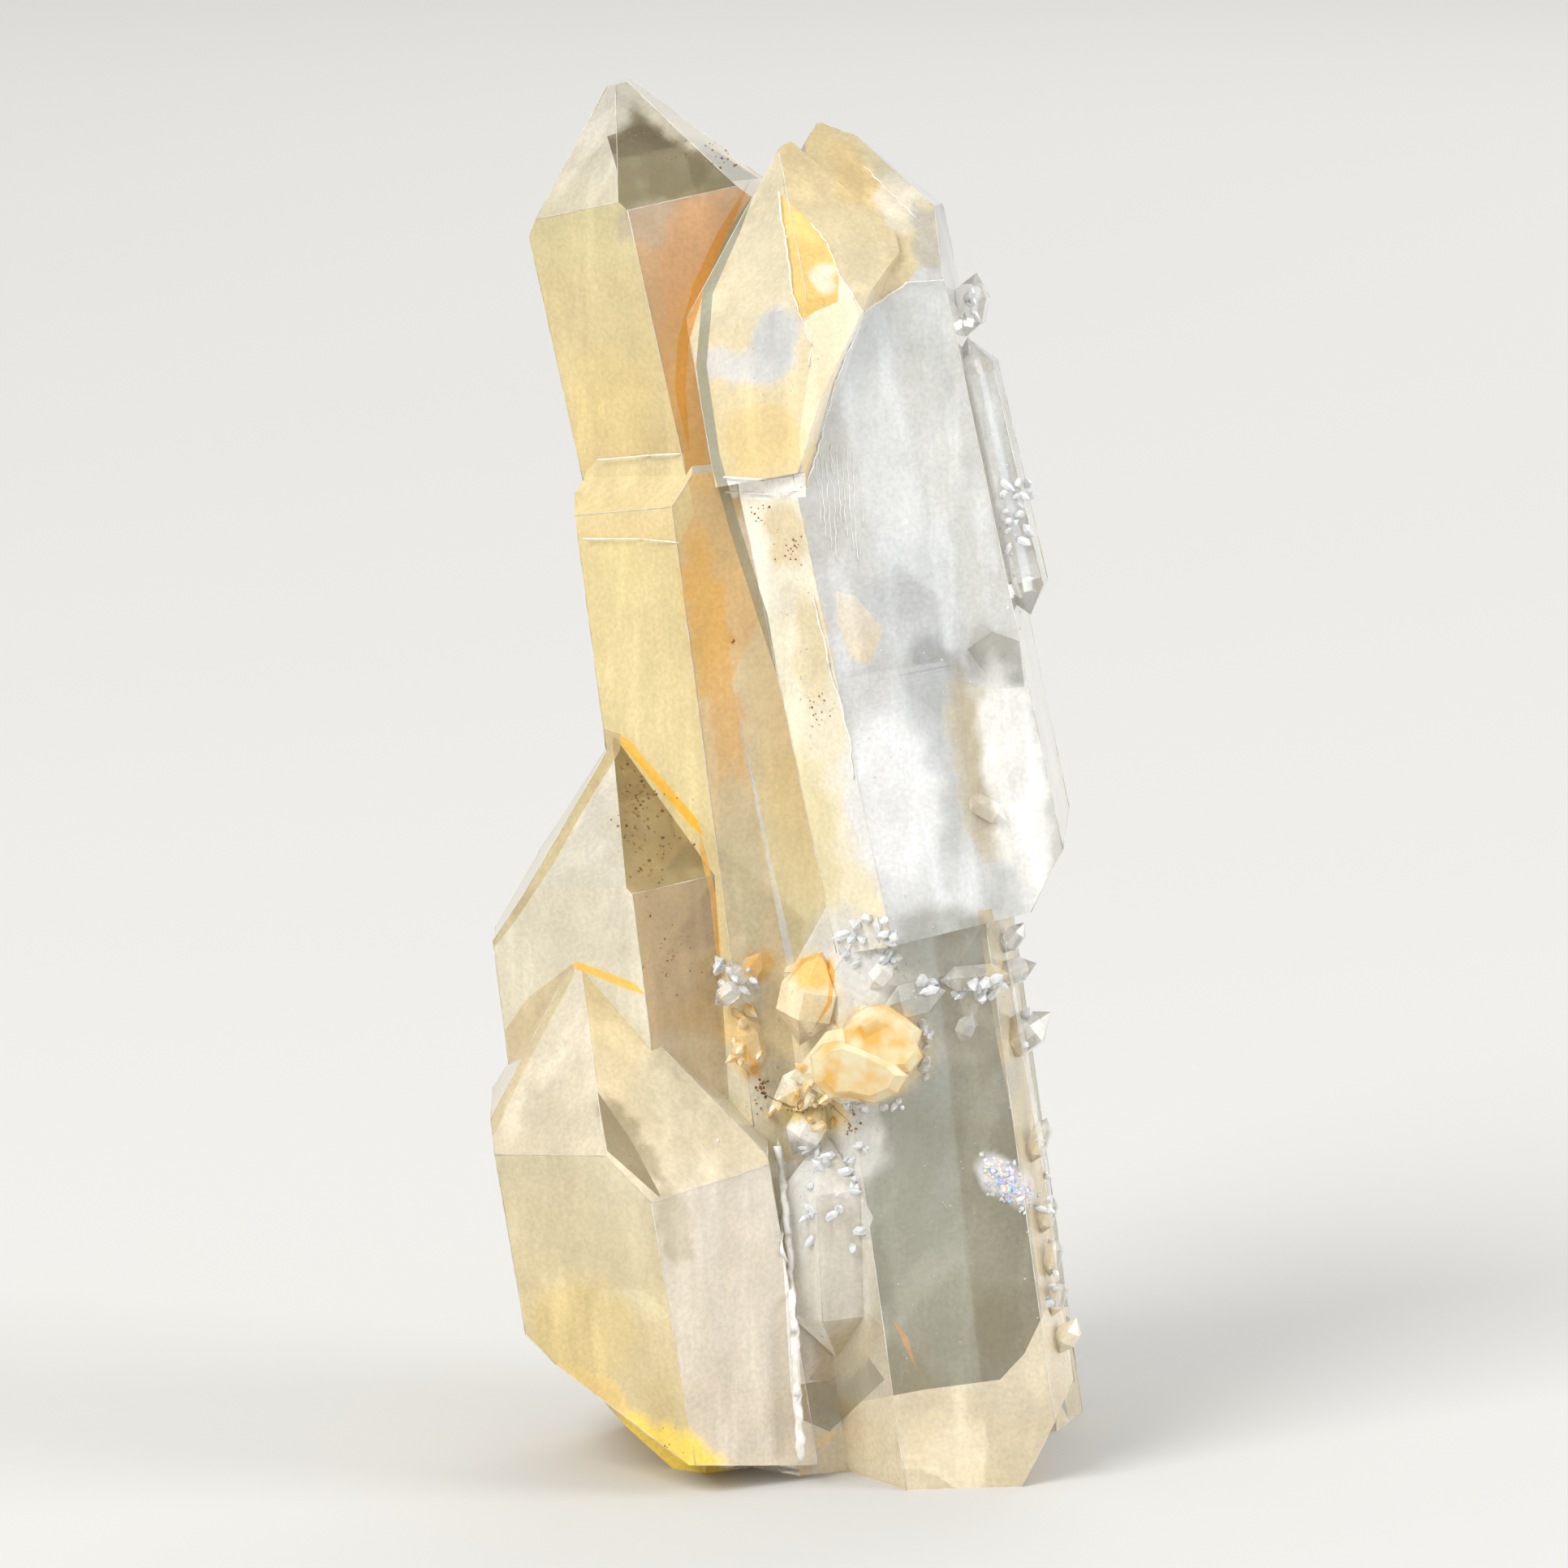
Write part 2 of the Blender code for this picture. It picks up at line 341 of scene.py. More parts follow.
# A look is the colour at a face's upper and lower end, how clear it is from 0 to 1, and how
# strongly growth lines cross it. Each named face starts with a photo pixel that lies on it.
faceLooks = {
    "tall left end, left": ((715, 200), "#DEDACC", "#DAD0AE", 0.45, 0.1),
    "tall left end, right": ((820, 185), "#B9B79C", "#8A8862", 0.85, 0.1),
    "tall left, left": ((740, 450), "#D3C48C", "#D8B974", 0.3, 0.25),
    "tall left, right": ((838, 400), "#DDAE82", "#E0A050", 0.5, 0.2),
    "foot end": ((770, 610), "#DFC886", "#E0C37E", 0.25, 0.2),
    "foot, left": ((790, 800), "#E0C982", "#E0CA92", 0.25, 0.25),
    "foot, right": ((880, 750), "#F0C27A", "#EFE3BC", 0.4, 0.2),
    "sage strip": ((920, 900), "#EBD6A4", "#E3D3A0", 0.4, 0.1),
    "kite end, left": ((920, 300), "#E1D2A8", "#E4D3A8", 0.35, 0.1),
    "kite, left": ((930, 480), "#F0DFB4", "#F0D28E", 0.35, 0.2),
    "kite end, right": ((1030, 250), "#DAC080", "#DEC896", 0.4, 0.1),
    "kite, right": ((1015, 430), "#FBE9BC", "#F7DFA4", 0.35, 0.1),
    "shaft end": ((1125, 290), "#DBC998", "#DED2B4", 0.45, 0.1),
    "shaft, front": ((1130, 700), "#DDE2E5", "#DEE3E6", 0.5, 0.6),
    "shaft, left": ((955, 700), "#FCF1D4", "#F7E7BC", 0.3, 0.2),
    "middle end, left": ((710, 1050), "#DDD6C4", "#DAD1BA", 0.35, 0.1),
    "middle, left": ((680, 1170), "#E2D9BE", "#DFD4B4", 0.3, 0.15),
    "middle end, right": ((800, 1030), "#B09456", "#C2A668", 0.75, 0.1),
    "middle, right": ((825, 1180), "#C0A272", "#D4AE7C", 0.55, 0.1),
    "low end, left": ((690, 1350), "#E6D9BE", "#E2D2B0", 0.35, 0.1),
    "low, left": ((700, 1550), "#DCCEA6", "#E4C884", 0.35, 0.15),
    "low end, right": ((850, 1380), "#EAD08E", "#EBDCBC", 0.4, 0.1),
    "low, right": ((890, 1600), "#E6DAC8", "#EADCC4", 0.35, 0.15),
    # painted shade: the clear window is tinted grey-olive for the darkness seen through it
    "clear front window, painted shade": ((1200, 1500), "#9DA094", "#9A967C", 0.62, 0.15),
    "clear left": ((1040, 1740), "#DDD6C4", "#DCD0B2", 0.5, 0.15),
    "shaft, right": ((1185, 600), "#E8ECEE", "#EAEDEE", 0.5, 0.2),
    "blade, front": ((1130, 940), "#DDE2E5", "#E0E3E4", 0.45, 0.5),
    "right slab": ((1240, 560), "#E4E9EC", "#E9EDEF", 0.7, 0.1),
    "right slab, edge": ((1222, 560), "#E9EEF0", "#EEF1F2", 0.6, 0.1),
    "clear side": ((1268, 1350), "#EADBBE", "#EEDDBB", 0.5, 0.1),
    "seam wedge, left": ((985, 1510), "#FBFAF6", "#F8F3E8", 0.45, 0.1),
    "seam wedge, right": ((1040, 1510), "#FAFAF7", "#F5EFE2", 0.45, 0.1),
}
smallLook = ("#F6F7F6", "#F1F0EA", 0.75, 0)
plainLook = ("#EFE6CE", "#E6D6AE", 0.5, 0.15)

# Tints of the plain faces at the sides and back: centre and half size along x and z in mm,
# colour and clearness.
regions = {
    "golden tall crystal": ((-9, 48), (8, 24), "#EBCF86", 0.3),
    "white shaft": ((7, 50), (9, 26), "#EDEFF0", 0.45),
    "golden low crystals": ((-11, 18), (7, 17), "#E6CE92", 0.35),
    "clear foot": ((9, 10), (8, 16), "#CFCDBE", 0.75),
    "creamy middle": ((0, 14), (5, 16), "#EFE9DA", 0.4),
    "peach above middle": ((-2, 36), (4, 9), "#EDC692", 0.4),
    "orange stain at foot": ((-9, 0.5), (7, 2.6), "#F4B63C", 0.15),
    "orange stain, right": ((6, 0), (6, 1.6), "#F2C468", 0.2),
    "clear points": ((-12, 66), (5, 4), "#EEECE4", 0.6),
}

# Crisp-edged faces and panes that the solid's edges don't give: outline in photo pixels, and a
# look as above.
panes = {
    "olive window": ([(748, 168), (790, 152), (862, 172), (935, 220), (876, 226), (775, 259)], "#9C987C",
      "#8C8A64", 0.9, 0.1),
    "step on left crystal": ([(722, 582), (736, 567), (842, 559), (855, 634), (838, 668), (790, 662),
      (704, 662)], "#E1CC8E", "#E1C480", 0.25, 0.1),
    "tan end beside kite": ([(962, 190), (1015, 150), (1066, 205), (1150, 262), (1130, 330), (1118, 350),
      (1064, 386), (1034, 337), (1020, 300), (1000, 275), (966, 238)], "#D9BE80", "#E0CDA0", 0.4, 0.1),
    "shaft beside kite": ([(1064, 385), (1118, 348), (1166, 345), (1150, 480), (1040, 620), (992, 606),
      (1018, 500), (1034, 450)], "#DDE2E5", "#DEE3E6", 0.45, 0.3),
    "kite band": ([(958, 236), (1000, 275), (1022, 302), (1034, 337), (1032, 372), (1004, 384), (986, 396),
      (976, 360), (967, 291)], "#F3CC70", "#F2C25C", 0.3, 0.1),
    "kite, right of band": ([(1034, 337), (1064, 385), (1034, 450), (1018, 500), (992, 603), (984, 540),
      (998, 452), (1001, 426), (990, 398), (1004, 384), (1032, 372)], "#FFF1CC", "#F6DCA8", 0.25, 0.1),
    "white ledge": ([(888, 586), (940, 590), (992, 583), (993, 612), (940, 616), (892, 613)], "#FFFBF2",
      "#FBF4E2", 0.15, 0.1),
    "side band of middle crystal": ([(765, 905), (764, 924), (748, 951), (714, 1006), (682, 1064),
      (636, 1133), (611, 1165), (585, 1175), (575, 1120), (630, 1010), (720, 890)], "#CDB47A", "#D2C08C",
      0.4, 0),
    "side band of low crystal": ([(708, 1186), (708, 1200), (655, 1300), (609, 1398), (580, 1400),
      (580, 1330), (650, 1230)], "#DCC593", "#DBC79A", 0.4, 0),
    "low window": ([(736, 1345), (775, 1400), (815, 1475), (810, 1473), (748, 1418)], "#B8A880", "#B5A684",
      0.85, 0),
    "leaf": ([(1030, 728), (1055, 735), (1088, 775), (1072, 818), (1048, 812), (1032, 768)], "#F2E9D8",
      "#EBD9B8", 0.4, 0.1),
    # painted reflection: a tan strip where the side faces show inside the shaft
    "painted reflection strip in shaft": ([(1180, 838), (1222, 848), (1240, 960), (1250, 1060), (1210, 1064), (1196, 960)],
      "#E3D8C0", "#E8E0D0", 0.5, 0.1),
    "grey clear pane": ([(1192, 800), (1222, 778), (1256, 790), (1262, 846), (1228, 850)], "#D9DFE1",
      "#D3DADC", 0.7, 0),
    # painted reflection: a tan strip where the side faces show inside the clear crystal
    "painted reflection strip of clear crystal": ([(1204, 1122), (1222, 1120), (1240, 1200), (1290, 1440), (1304, 1600),
      (1286, 1600), (1262, 1450), (1228, 1280)], "#E6D0A8", "#E9D5AE", 0.5, 0),
    "cream base": ([(1056, 1728), (1140, 1712), (1232, 1700), (1262, 1668), (1290, 1610), (1335, 1610),
      (1335, 1845), (1010, 1845), (1014, 1790)], "#EBDDC0", "#E6D2A8", 0.35, 0.3),
    "dark pocket": ([(986, 1706), (1020, 1700), (1062, 1660), (1090, 1700), (1058, 1730), (1022, 1764),
      (990, 1750)], "#B9B29A", "#C4B896", 0.7, 0),
    "clear wedge": ([(966, 1430), (1040, 1430), (1076, 1500), (1056, 1560), (1062, 1612), (992, 1705),
      (978, 1560)], "#FBFAF6", "#F4EDDF", 0.5, 0),
    "tan wedge": ([(1062, 1612), (1092, 1640), (1020, 1702), (996, 1700)], "#D9C9A8", "#D6C29A", 0.6, 0),
    "phantom in low crystal": ([(708, 1612), (745, 1588), (792, 1590), (826, 1622), (800, 1632),
      (760, 1606)], "#EFDFAE", "#E9D49A", 0.4, 0),
}

# Soft patches on the side that the camera sees: centre and half sizes in photo pixels, turn in
# degrees, colour, strength and clearness.
patches = {
    "pale upper edge of olive window": ((830, 140), (75, 24), 35, "#DDD5C0", 0.85, 0.4),
    "pale tip": ((750, 130), (30, 36), 0, "#DAD5C6", 0.8, 0.4),
    "dark speck by tip": ((795, 165), (16, 9), 20, "#6E6F60", 0.5, 0.9),
    "grey below window": ((800, 275), (40, 30), -10, "#C9BCA6", 0.5, 0.6),
    "peach on right face": ((850, 320), (38, 80), 10, "#E4A368", 0.8, 0.45),
    "honey at foot of left face": ((750, 500), (50, 70), 0, "#E6C87C", 0.6, 0.3),
    "bright honey right face": ((870, 760), (26, 110), -7, "#F4B44C", 0.9, 0.35),
    "honey right face, low": ((895, 900), (22, 90), -7, "#F0B866", 0.8, 0.4),
    "kite, clear window": ((955, 425), (28, 46), 10, "#EFF2F4", 0.95, 0.6),
    "kite, white wedge": ((905, 450), (48, 20), 12, "#F4F3F0", 0.9, 0.5),
    "kite, honey low": ((940, 540), (48, 42), 0, "#F3CF80", 0.8, 0.35),
    "honey streak on shaft's end": ((1050, 215), (26, 44), -20, "#DDB872", 0.7, 0.4),
    "pale shaft's end": ((1110, 250), (30, 40), -30, "#EFE9D8", 0.6, 0.4),
    "grey rim of shaft's end": ((1140, 290), (16, 46), -14, "#C9C8C0", 0.7, 0.6),
    "white heart of kite band": ((1012, 345), (16, 18), 0, "#FFF6DC", 0.8, 0.25),
    "golden body, upper": ((965, 660), (26, 40), -8, "#EBD093", 0.8, 0.35),
    "golden body": ((1000, 800), (20, 70), -8, "#EFD79C", 0.7, 0.35),
    "cream beside sage strip": ((935, 690), (16, 70), -14, "#FBF3DE", 0.7, 0.3),
    "low honey corner": ((815, 1785), (90, 30), 22, "#FFD84C", 1, 0.1),
    "honey corner, upper": ((735, 1715), (46, 20), 42, "#F8D070", 0.9, 0.2),
    "wisp in clear crystal": ((1150, 1560), (20, 150), 40, "#BCBAA6", 0.4, 0.6),
    "second wisp": ((1200, 1400), (20, 120), 30, "#BDBFB6", 0.5, 0.6),
    "third wisp": ((1110, 1420), (18, 130), 24, "#BDBDB0", 0.4, 0.6),
    # painted shade in the clear window: grey patches for the darkness seen through it, lighter at its top
    "painted shade, heart of window": ((1150, 1330), (40, 110), -6, "#8F948C", 0.5, 0.6),
    "lighter painted shade, top of window": ((1180, 1260), (60, 50), -6, "#B9B8AA", 0.6, 0.6),
    "painted shade, middle of window": ((1160, 1450), (90, 90), 40, "#8A8A74", 0.6, 0.6),
    "painted shade, low window": ((1190, 1620), (70, 46), -10, "#8F8C74", 0.6, 0.6),
    "smoky spot": ((1150, 835), (36, 52), -15, "#B9C0C2", 0.55, 0.85),
    "smoky spot, right": ((1218, 810), (26, 40), -10, "#C6CDCE", 0.5, 0.8),
    "smoky band": ((1160, 940), (30, 110), -10, "#CBD0D2", 0.45, 0.75),
    # painted reflection: the side faces seen as a tan strip inside the shaft
    "painted reflection strip inside": ((1195, 940), (24, 110), -8, "#DCCBA8", 0.8, 0.55),
    "milk cloud": ((1100, 990), (60, 110), -8, "#EFEFEF", 0.9, 0.25),
    "milk cloud, upper": ((1110, 560), (70, 120), -10, "#E9EAE8", 0.7, 0.35),
    "creamy blade": ((1250, 960), (38, 150), -10, "#FAF8F2", 0.85, 0.25),
    "amber body": ((985, 1030), (45, 110), -8, "#F0DC9C", 0.8, 0.4),
    "olive strip": ((915, 1060), (26, 110), -8, "#DDD2A4", 0.7, 0.45),
    "pale middle": ((1040, 1180), (46, 60), 0, "#EDEBE4", 0.8, 0.5),
    # painted shade: the dark top of the clear window
    "painted shade above small crystals": ((1160, 1160), (62, 44), 0, "#A2A59C", 0.8, 0.6),
    "dark low end, right": ((778, 1405), (15, 62), -35, "#B5A277", 0.6, 0.8),
    "dark foot of low end": ((832, 1510), (20, 46), -14, "#CBBE9C", 0.55, 0.7),
    "cloud in low end": ((850, 1330), (70, 60), 0, "#DDD0AE", 0.6, 0.45),
    "honey low corner, left": ((720, 1710), (50, 20), 38, "#EFC873", 0.8, 0.35),
    "honey low left": ((720, 1640), (70, 60), 10, "#EACB7C", 0.7, 0.35),
    "milky left of window": ((1052, 1330), (34, 130), -4, "#DCDAD2", 0.85, 0.55),
    "cream left of window": ((1030, 1580), (42, 110), 0, "#E0D8C8", 0.9, 0.5),
    "tan wedge": ((1045, 1665), (44, 30), -38, "#D8C5A0", 0.8, 0.5),
    "milk behind points": ((1040, 1215), (60, 46), 0, "#F2F0EA", 0.9, 0.3),
    "milk left of points": ((925, 1225), (30, 34), 0, "#E9E6DA", 0.7, 0.4),
    "cream under points": ((955, 1330), (62, 54), 0, "#F3E7C6", 0.9, 0.3),
    "milk over clear wedge": ((1040, 1420), (56, 34), 0, "#E6E4DC", 0.8, 0.4),
    "honey point": ((985, 1240), (46, 66), 20, "#FBE3B2", 1, 0.3),
    "honey point's tip": ((1004, 1198), (26, 22), 0, "#FAC45A", 0.95, 0.3),
    "amber stub": ((915, 1280), (26, 44), -15, "#F8D084", 1, 0.3),
    "amber stub's foot": ((928, 1310), (10, 20), -15, "#F2A93E", 0.9, 0.3),
    "amber slab": ((1066, 1300), (80, 58), -10, "#FAE2B0", 1, 0.3),
    "yellow cluster": ((1000, 1372), (44, 30), 0, "#F8D888", 0.9, 0.3),
    "amber bead": ((935, 1190), (18, 20), 30, "#F2B65C", 1, 0.35),
    "white spot": ((990, 1395), (26, 14), 0, "#FFFDF4", 0.95, 0.3),
    "fracture": ((1240, 1455), (42, 20), 38, "#F2F0F6", 0.9, 0.3),
}

# Lines and ribbons in photo pixels: the points, width, colour, strength, clearness.
ribbons = {
    "ribbon on middle point": ([(763, 906), (770, 914), (820, 972), (856, 1015), (866, 1030)], 11,
      "#FFB32E", 1, 0.2),
    "ribbon down middle prism": ([(862, 1026), (866, 1050), (878, 1100), (884, 1160), (890, 1250)], 7,
      "#F3B048", 0.9, 0.35),
    "rim of honey point": ([(968, 1212), (990, 1184), (1012, 1176), (1026, 1196), (1022, 1236),
      (1000, 1272)], 6, "#F3A93A", 0.9, 0.3),
    "ribbon on low point": ([(704, 1188), (712, 1190), (745, 1202), (780, 1216), (796, 1226)], 10,
      "#FFBC40", 1, 0.2),
    "orange band": ([(925, 220), (890, 290), (862, 350), (842, 420), (838, 480), (850, 560)], 14, "#E08A1E",
      0.9, 0.5),
    "sage edge": ([(932, 232), (905, 285), (872, 360), (864, 450), (880, 560), (905, 650), (940, 760),
      (960, 840)], 13, "#9FA58C", 0.85, 0.7),
    "seam": ([(958, 1400), (962, 1440), (972, 1560), (980, 1700), (986, 1800)], 13, "#FFFDF6", 0.95, 0.1),
    "amber streak": ([(1098, 1622), (1115, 1650), (1130, 1690)], 8, "#D99A52", 0.8, 0.5),
    "iron line": ([(935, 1345), (975, 1365), (1012, 1352), (1050, 1385)], 4, "#9A6A22", 0.8, 0.5),
    "iron spot": ([(940, 1330), (936, 1350)], 6, "#8A5514", 0.9, 0.6),
    "white chip": ([(868, 850), (874, 892)], 5, "#F4F1E8", 0.9, 0.3),
    "milky right rim": ([(1232, 1130), (1262, 1290), (1290, 1450), (1308, 1620)], 7, "#EFEDE6", 0.8, 0.35),
}

# How the looks are laid on. Grains are in mm, the regions warp in mm and the patches in pixels.
# Light crosses the tinted crystal more than once, which the depth makes up for.
paint = {"region grain": 3.5, "region warp": 2.2 * mm, "region rim": (1.4, 0.7), "region strength": 0.9,
         "patch grain": 0.9, "patch warp": 12, "patch rim": (1.25, 0.5), "glancing": 0.1, "depth": 0.82,
         "cloud grain": 2.5, "cloud shade": 0.035, "cloud veil": 0.08, "least clear": 0.05}


def fade(away, rim):
    # Falls smoothly from 1 to 0 across a rim, given as its outer end and its width.
    t = np.clip((rim[0] - away) / rim[1], 0, 1)
    return t * t * (3 - 2 * t)


def noiseOver(places, grainSize, octaves):
    # Fractal noise for many places, with its largest grain in mm.
    scale = 1 / (grainSize * mm)
    return np.array([noise.fractal(Vector(place) * scale, 1.0, 2.0, octaves) for place in places])


def readAll(items, name, kind=float, width=3):
    values = np.empty(len(items) * width, kind)
    items.foreach_get(name, values)
    return values.reshape(-1, width)


def paintFine(mesh, facetOf, paneOf):
    # Colour and clearness for each corner: the face's look first, then patches and ribbons.
    co = readAll(mesh.vertices, "co")
    loops = readAll(mesh.loops, "vertex_index", int, 1)[:, 0]
    perLoop, panePerLoop = np.repeat(facetOf, 3), np.repeat(paneOf, 3)
    height = ((co[:, 2] - cadLow[2]) / (cadHigh[2] - cadLow[2]))[loops]
    colour = np.zeros((len(loops), 3))
    clear = np.zeros(len(loops))
    lines = np.zeros(len(loops))

    def fill(chosen, look):
        if not chosen.any():
            return
        top, low, clearness, lineDepth = look
        top, low = np.array(linear(top)), np.array(linear(low))
        h = height[chosen]
        span = (h - h.min()) / max(h.max() - h.min(), 1e-9)
        colour[chosen] = low + (top - low) * span[:, None]
        clear[chosen] = clearness
        lines[chosen] = lineDepth

    def blend(amount, tone, clearness):
        colour[:] = colour * (1 - amount[:, None]) + np.array(linear(tone)) * amount[:, None]
        clear[:] = clear * (1 - amount) + clearness * amount

    fill(np.ones(len(loops), bool), plainLook)
    warp = noiseOver(co, paint["region grain"], 3) * paint["region warp"]
    for centre, half, tone, clearness in regions.values():
        away = np.hypot((co[:, 0] + warp - centre[0] * mm) / (half[0] * mm),
                        (co[:, 2] + warp * 1.6 - centre[1] * mm) / (half[1] * mm))
        blend((paint["region strength"] * fade(away, paint["region rim"]))[loops], tone, clearness)
    small = np.array([face.calc_area() < facets["small"] for face in coarse.faces])
    fill(small[perLoop], smallLook)
    for at, *look in faceLooks.values():
        fill(perLoop == touch(*at)[2], look)
    for number, (outline, *look) in enumerate(panes.values()):
        fill(panePerLoop == number + 1, look)

    # patches lie only on what faces the eye, and their rims wander a little
    facing = np.repeat(-(readAll(mesh.polygons, "normal") @ np.array(towards)), 3)
    shown = np.clip(facing / paint["glancing"], 0, 1)
    px, py = onPhoto(co)
    wobble = noiseOver(co, paint["patch grain"], 1)[loops] * paint["patch warp"]
    x, y = px[loops] + wobble, py[loops] - wobble * 0.5
    for centre, half, turn, tone, strength, clearness in patches.values():
        c, s = math.cos(math.radians(turn)), math.sin(math.radians(turn))
        dx, dy = x - centre[0], y - centre[1]
        away = np.hypot((dx * c + dy * s) / half[0], (-dx * s + dy * c) / half[1])
        blend(fade(away, paint["patch rim"]) * strength * shown, tone, clearness)
    for number, (points, width, tone, strength, clearness) in enumerate(ribbons.values()):
        blend((panePerLoop == len(panes) + number + 1) * strength * shown, tone, clearness)

    colour **= paint["depth"]
    cloud = noiseOver(co, paint["cloud grain"], 4)[loops]
    colour *= (1 + paint["cloud shade"] * cloud)[:, None]
    clear = np.clip(clear - paint["cloud veil"] * cloud, paint["least clear"], 1)
    tint = mesh.color_attributes.new("tint", "FLOAT_COLOR", "CORNER")
    tint.data.foreach_set("color", np.column_stack([colour, np.ones(len(loops))]).ravel())
    for name, values in (("clear", clear), ("lines", lines)):
        layer = mesh.attributes.new(name, "FLOAT", "CORNER")
        layer.data.foreach_set("value", values)


# The crystals' surface, with sizes in mm. The long axis leans, and growth lines lie square to it.
quartz = {"long axis": Vector((-0.17, 0.09, 0.98)).normalized(), "growth line": 0.3125,
          "grain": 0.22, "shade": (0.91, 1.08), "wisp": 1.6, "lean": 0.15, "stretch": (1, 1, 0.14),
          "veil": 0.24, "pit": 2 / 3, "pit depth": 0.12, "relief": 0.05 * mm, "strength": 0.5,
          "roughness": 0.14, "gloss": 0.6, "gloss roughness": 0.03}


def quartzSurface():
    # Glassy natural faces over a milky, iron-tinted body: the eye sees both gloss and depth.
    material, tree, shader = newMaterial("natural_quartz_faces", quartz["roughness"])
    tint = makeNode(tree, "VertexColor", {"layer_name": "tint"})
    clear = makeNode(tree, "Attribute", {"attribute_name": "clear"})
    lines = makeNode(tree, "Attribute", {"attribute_name": "lines"})
    where = makeNode(tree, "TexCoord").outputs["Object"]
    # milky grain of fine bubbles, and longer wisps of them in the clear places
    grain = makeNode(tree, "TexNoise", Vector=where, Scale=1000 / quartz["grain"], Detail=2)
    pale = makeNode(tree, "MapRange", Value=grain, From_Min=0.3, From_Max=0.7,
                    To_Min=quartz["shade"][0], To_Max=quartz["shade"][1])
    grainy = makeNode(tree, "VectorMath", {"operation": "SCALE"}, i0=tint, Scale=pale)
    tree.links.new(grainy.outputs["Vector"], shader.inputs["Base Color"])
    drawn = makeNode(tree, "Mapping", Vector=where, Rotation=(0, quartz["lean"], 0),
                     Scale=quartz["stretch"])
    wisps = makeNode(tree, "TexNoise", Vector=drawn, Scale=1000 / quartz["wisp"], Detail=3)
    veil = makeNode(tree, "MapRange", Value=wisps, From_Min=0.5, From_Max=0.75,
                    To_Min=0.0, To_Max=quartz["veil"])
    seen = makeNode(tree, "Math", {"operation": "SUBTRACT", "use_clamp": True},
                    i0=clear.outputs["Fac"], i1=veil)
    tree.links.new(seen.outputs[0], shader.inputs["Transmission Weight"])
    # growth lines across the prisms, and shallow pits
    along = makeNode(tree, "VectorMath", {"operation": "DOT_PRODUCT"}, i0=where,
                     i1=tuple(quartz["long axis"]))
    growth = makeNode(tree, "TexNoise", {"noise_dimensions": "1D"}, W=along.outputs["Value"],
                      Scale=1000 / quartz["growth line"], Detail=1)
    pits = makeNode(tree, "TexNoise", Vector=where, Scale=1000 / quartz["pit"], Detail=1)
    ridge = makeNode(tree, "Math", {"operation": "MULTIPLY"}, i0=growth, i1=lines.outputs["Fac"])
    relief = makeNode(tree, "Math", {"operation": "MULTIPLY_ADD"}, i0=pits,
                      i1=quartz["pit depth"], i2=ridge)
    bump = makeNode(tree, "Bump", Strength=quartz["strength"], Distance=quartz["relief"], Height=relief)
    tree.links.new(bump.outputs["Normal"], shader.inputs["Normal"])
    shader.inputs["Coat Weight"].default_value = quartz["gloss"]
    shader.inputs["Coat Roughness"].default_value = quartz["gloss roughness"]
    return material


# The fine mesh in mm: its longest edges on the seen and the unseen side, before and after the
# outlines are cut, and the low swells and fine waves of natural faces, which aren't quite flat.
detail = {"first edges": (3, 6), "last edges": (0.42, 1.2), "swell": 5.0, "wave": 1.2, "wave share": 0.3,
          "height": 0.02}


def makeFineCluster():
    bm = coarse.copy()
    bmesh.ops.triangulate(bm, faces=bm.faces)
    facet = bm.faces.layers.int["facet"]
    co = np.array([tuple(vert.co) for vert in bm.verts])
    tris = np.array([[vert.index for vert in face.verts] for face in bm.faces])
    tags = np.array([[face[facet], 0] for face in bm.faces])
    bm.free()
    co, tris, tags = splitLong(co, tris, tags, detail["first edges"])
    outlines = [outline for outline, *look in panes.values()]
    outlines += [bandAround(points, width) for points, width, *rest in ribbons.values()]
    co, tris, tags = cutOutlines(co, tris, tags, outlines)
    print("outlines cut:", len(tris), "triangles")
    co, tris, tags = splitLong(co, tris, tags, detail["last edges"])

    normals = np.zeros_like(co)
    for corner in range(3):
        np.add.at(normals, tris[:, corner], normalsOf(co, tris))
    normals /= np.linalg.norm(normals, axis=1, keepdims=True)
    swell = noiseOver(co, detail["swell"], 3) + detail["wave share"] * noiseOver(co, detail["wave"], 1)
    co = co + normals * (swell * detail["height"] * mm)[:, None]

    # corners are shared inside a face and apart along its edges, which keeps them crisp
    faceCount = tags[:, 0].max() + 1
    keys = tris.astype(np.int64) * faceCount + tags[:, :1]
    shared, tris = np.unique(keys, return_inverse=True)
    co = co[shared // faceCount]
    tris = tris.reshape(-1, 3)
    mesh = meshFrom("quartz_crystals", co.tolist(), tris.tolist(), True)
    paintFine(mesh, tags[:, 0], tags[:, 1])
    piece = addPiece("quartz_crystals", mesh, quartzSurface())
    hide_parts("quartz_cluster")


def makeTubes(name, lines, material, sides=5):
    # Thin threads, each given as its points and their radii.
    verts, faces = [], []
    for points, radii in lines:
        first = len(verts)
        along = (points[-1] - points[0]).normalized()
        across = along.orthogonal().normalized()
        over = along.cross(across)
        for point, radius in zip(points, radii):
            for k in range(sides):
                angle = 2 * math.pi * k / sides
                verts.append(point + (across * math.cos(angle) + over * math.sin(angle)) * radius)
        for ring in range(len(points) - 1):
            a, b = first + ring * sides, first + (ring + 1) * sides
            faces += [(a + k, a + (k + 1) % sides, b + (k + 1) % sides, b + k) for k in range(sides)]
        faces.append(tuple(range(first + sides - 1, first - 1, -1)))
        faces.append(tuple(range(len(verts) - sides, len(verts))))
    addPiece(name, meshFrom(name, verts, faces, True), material)


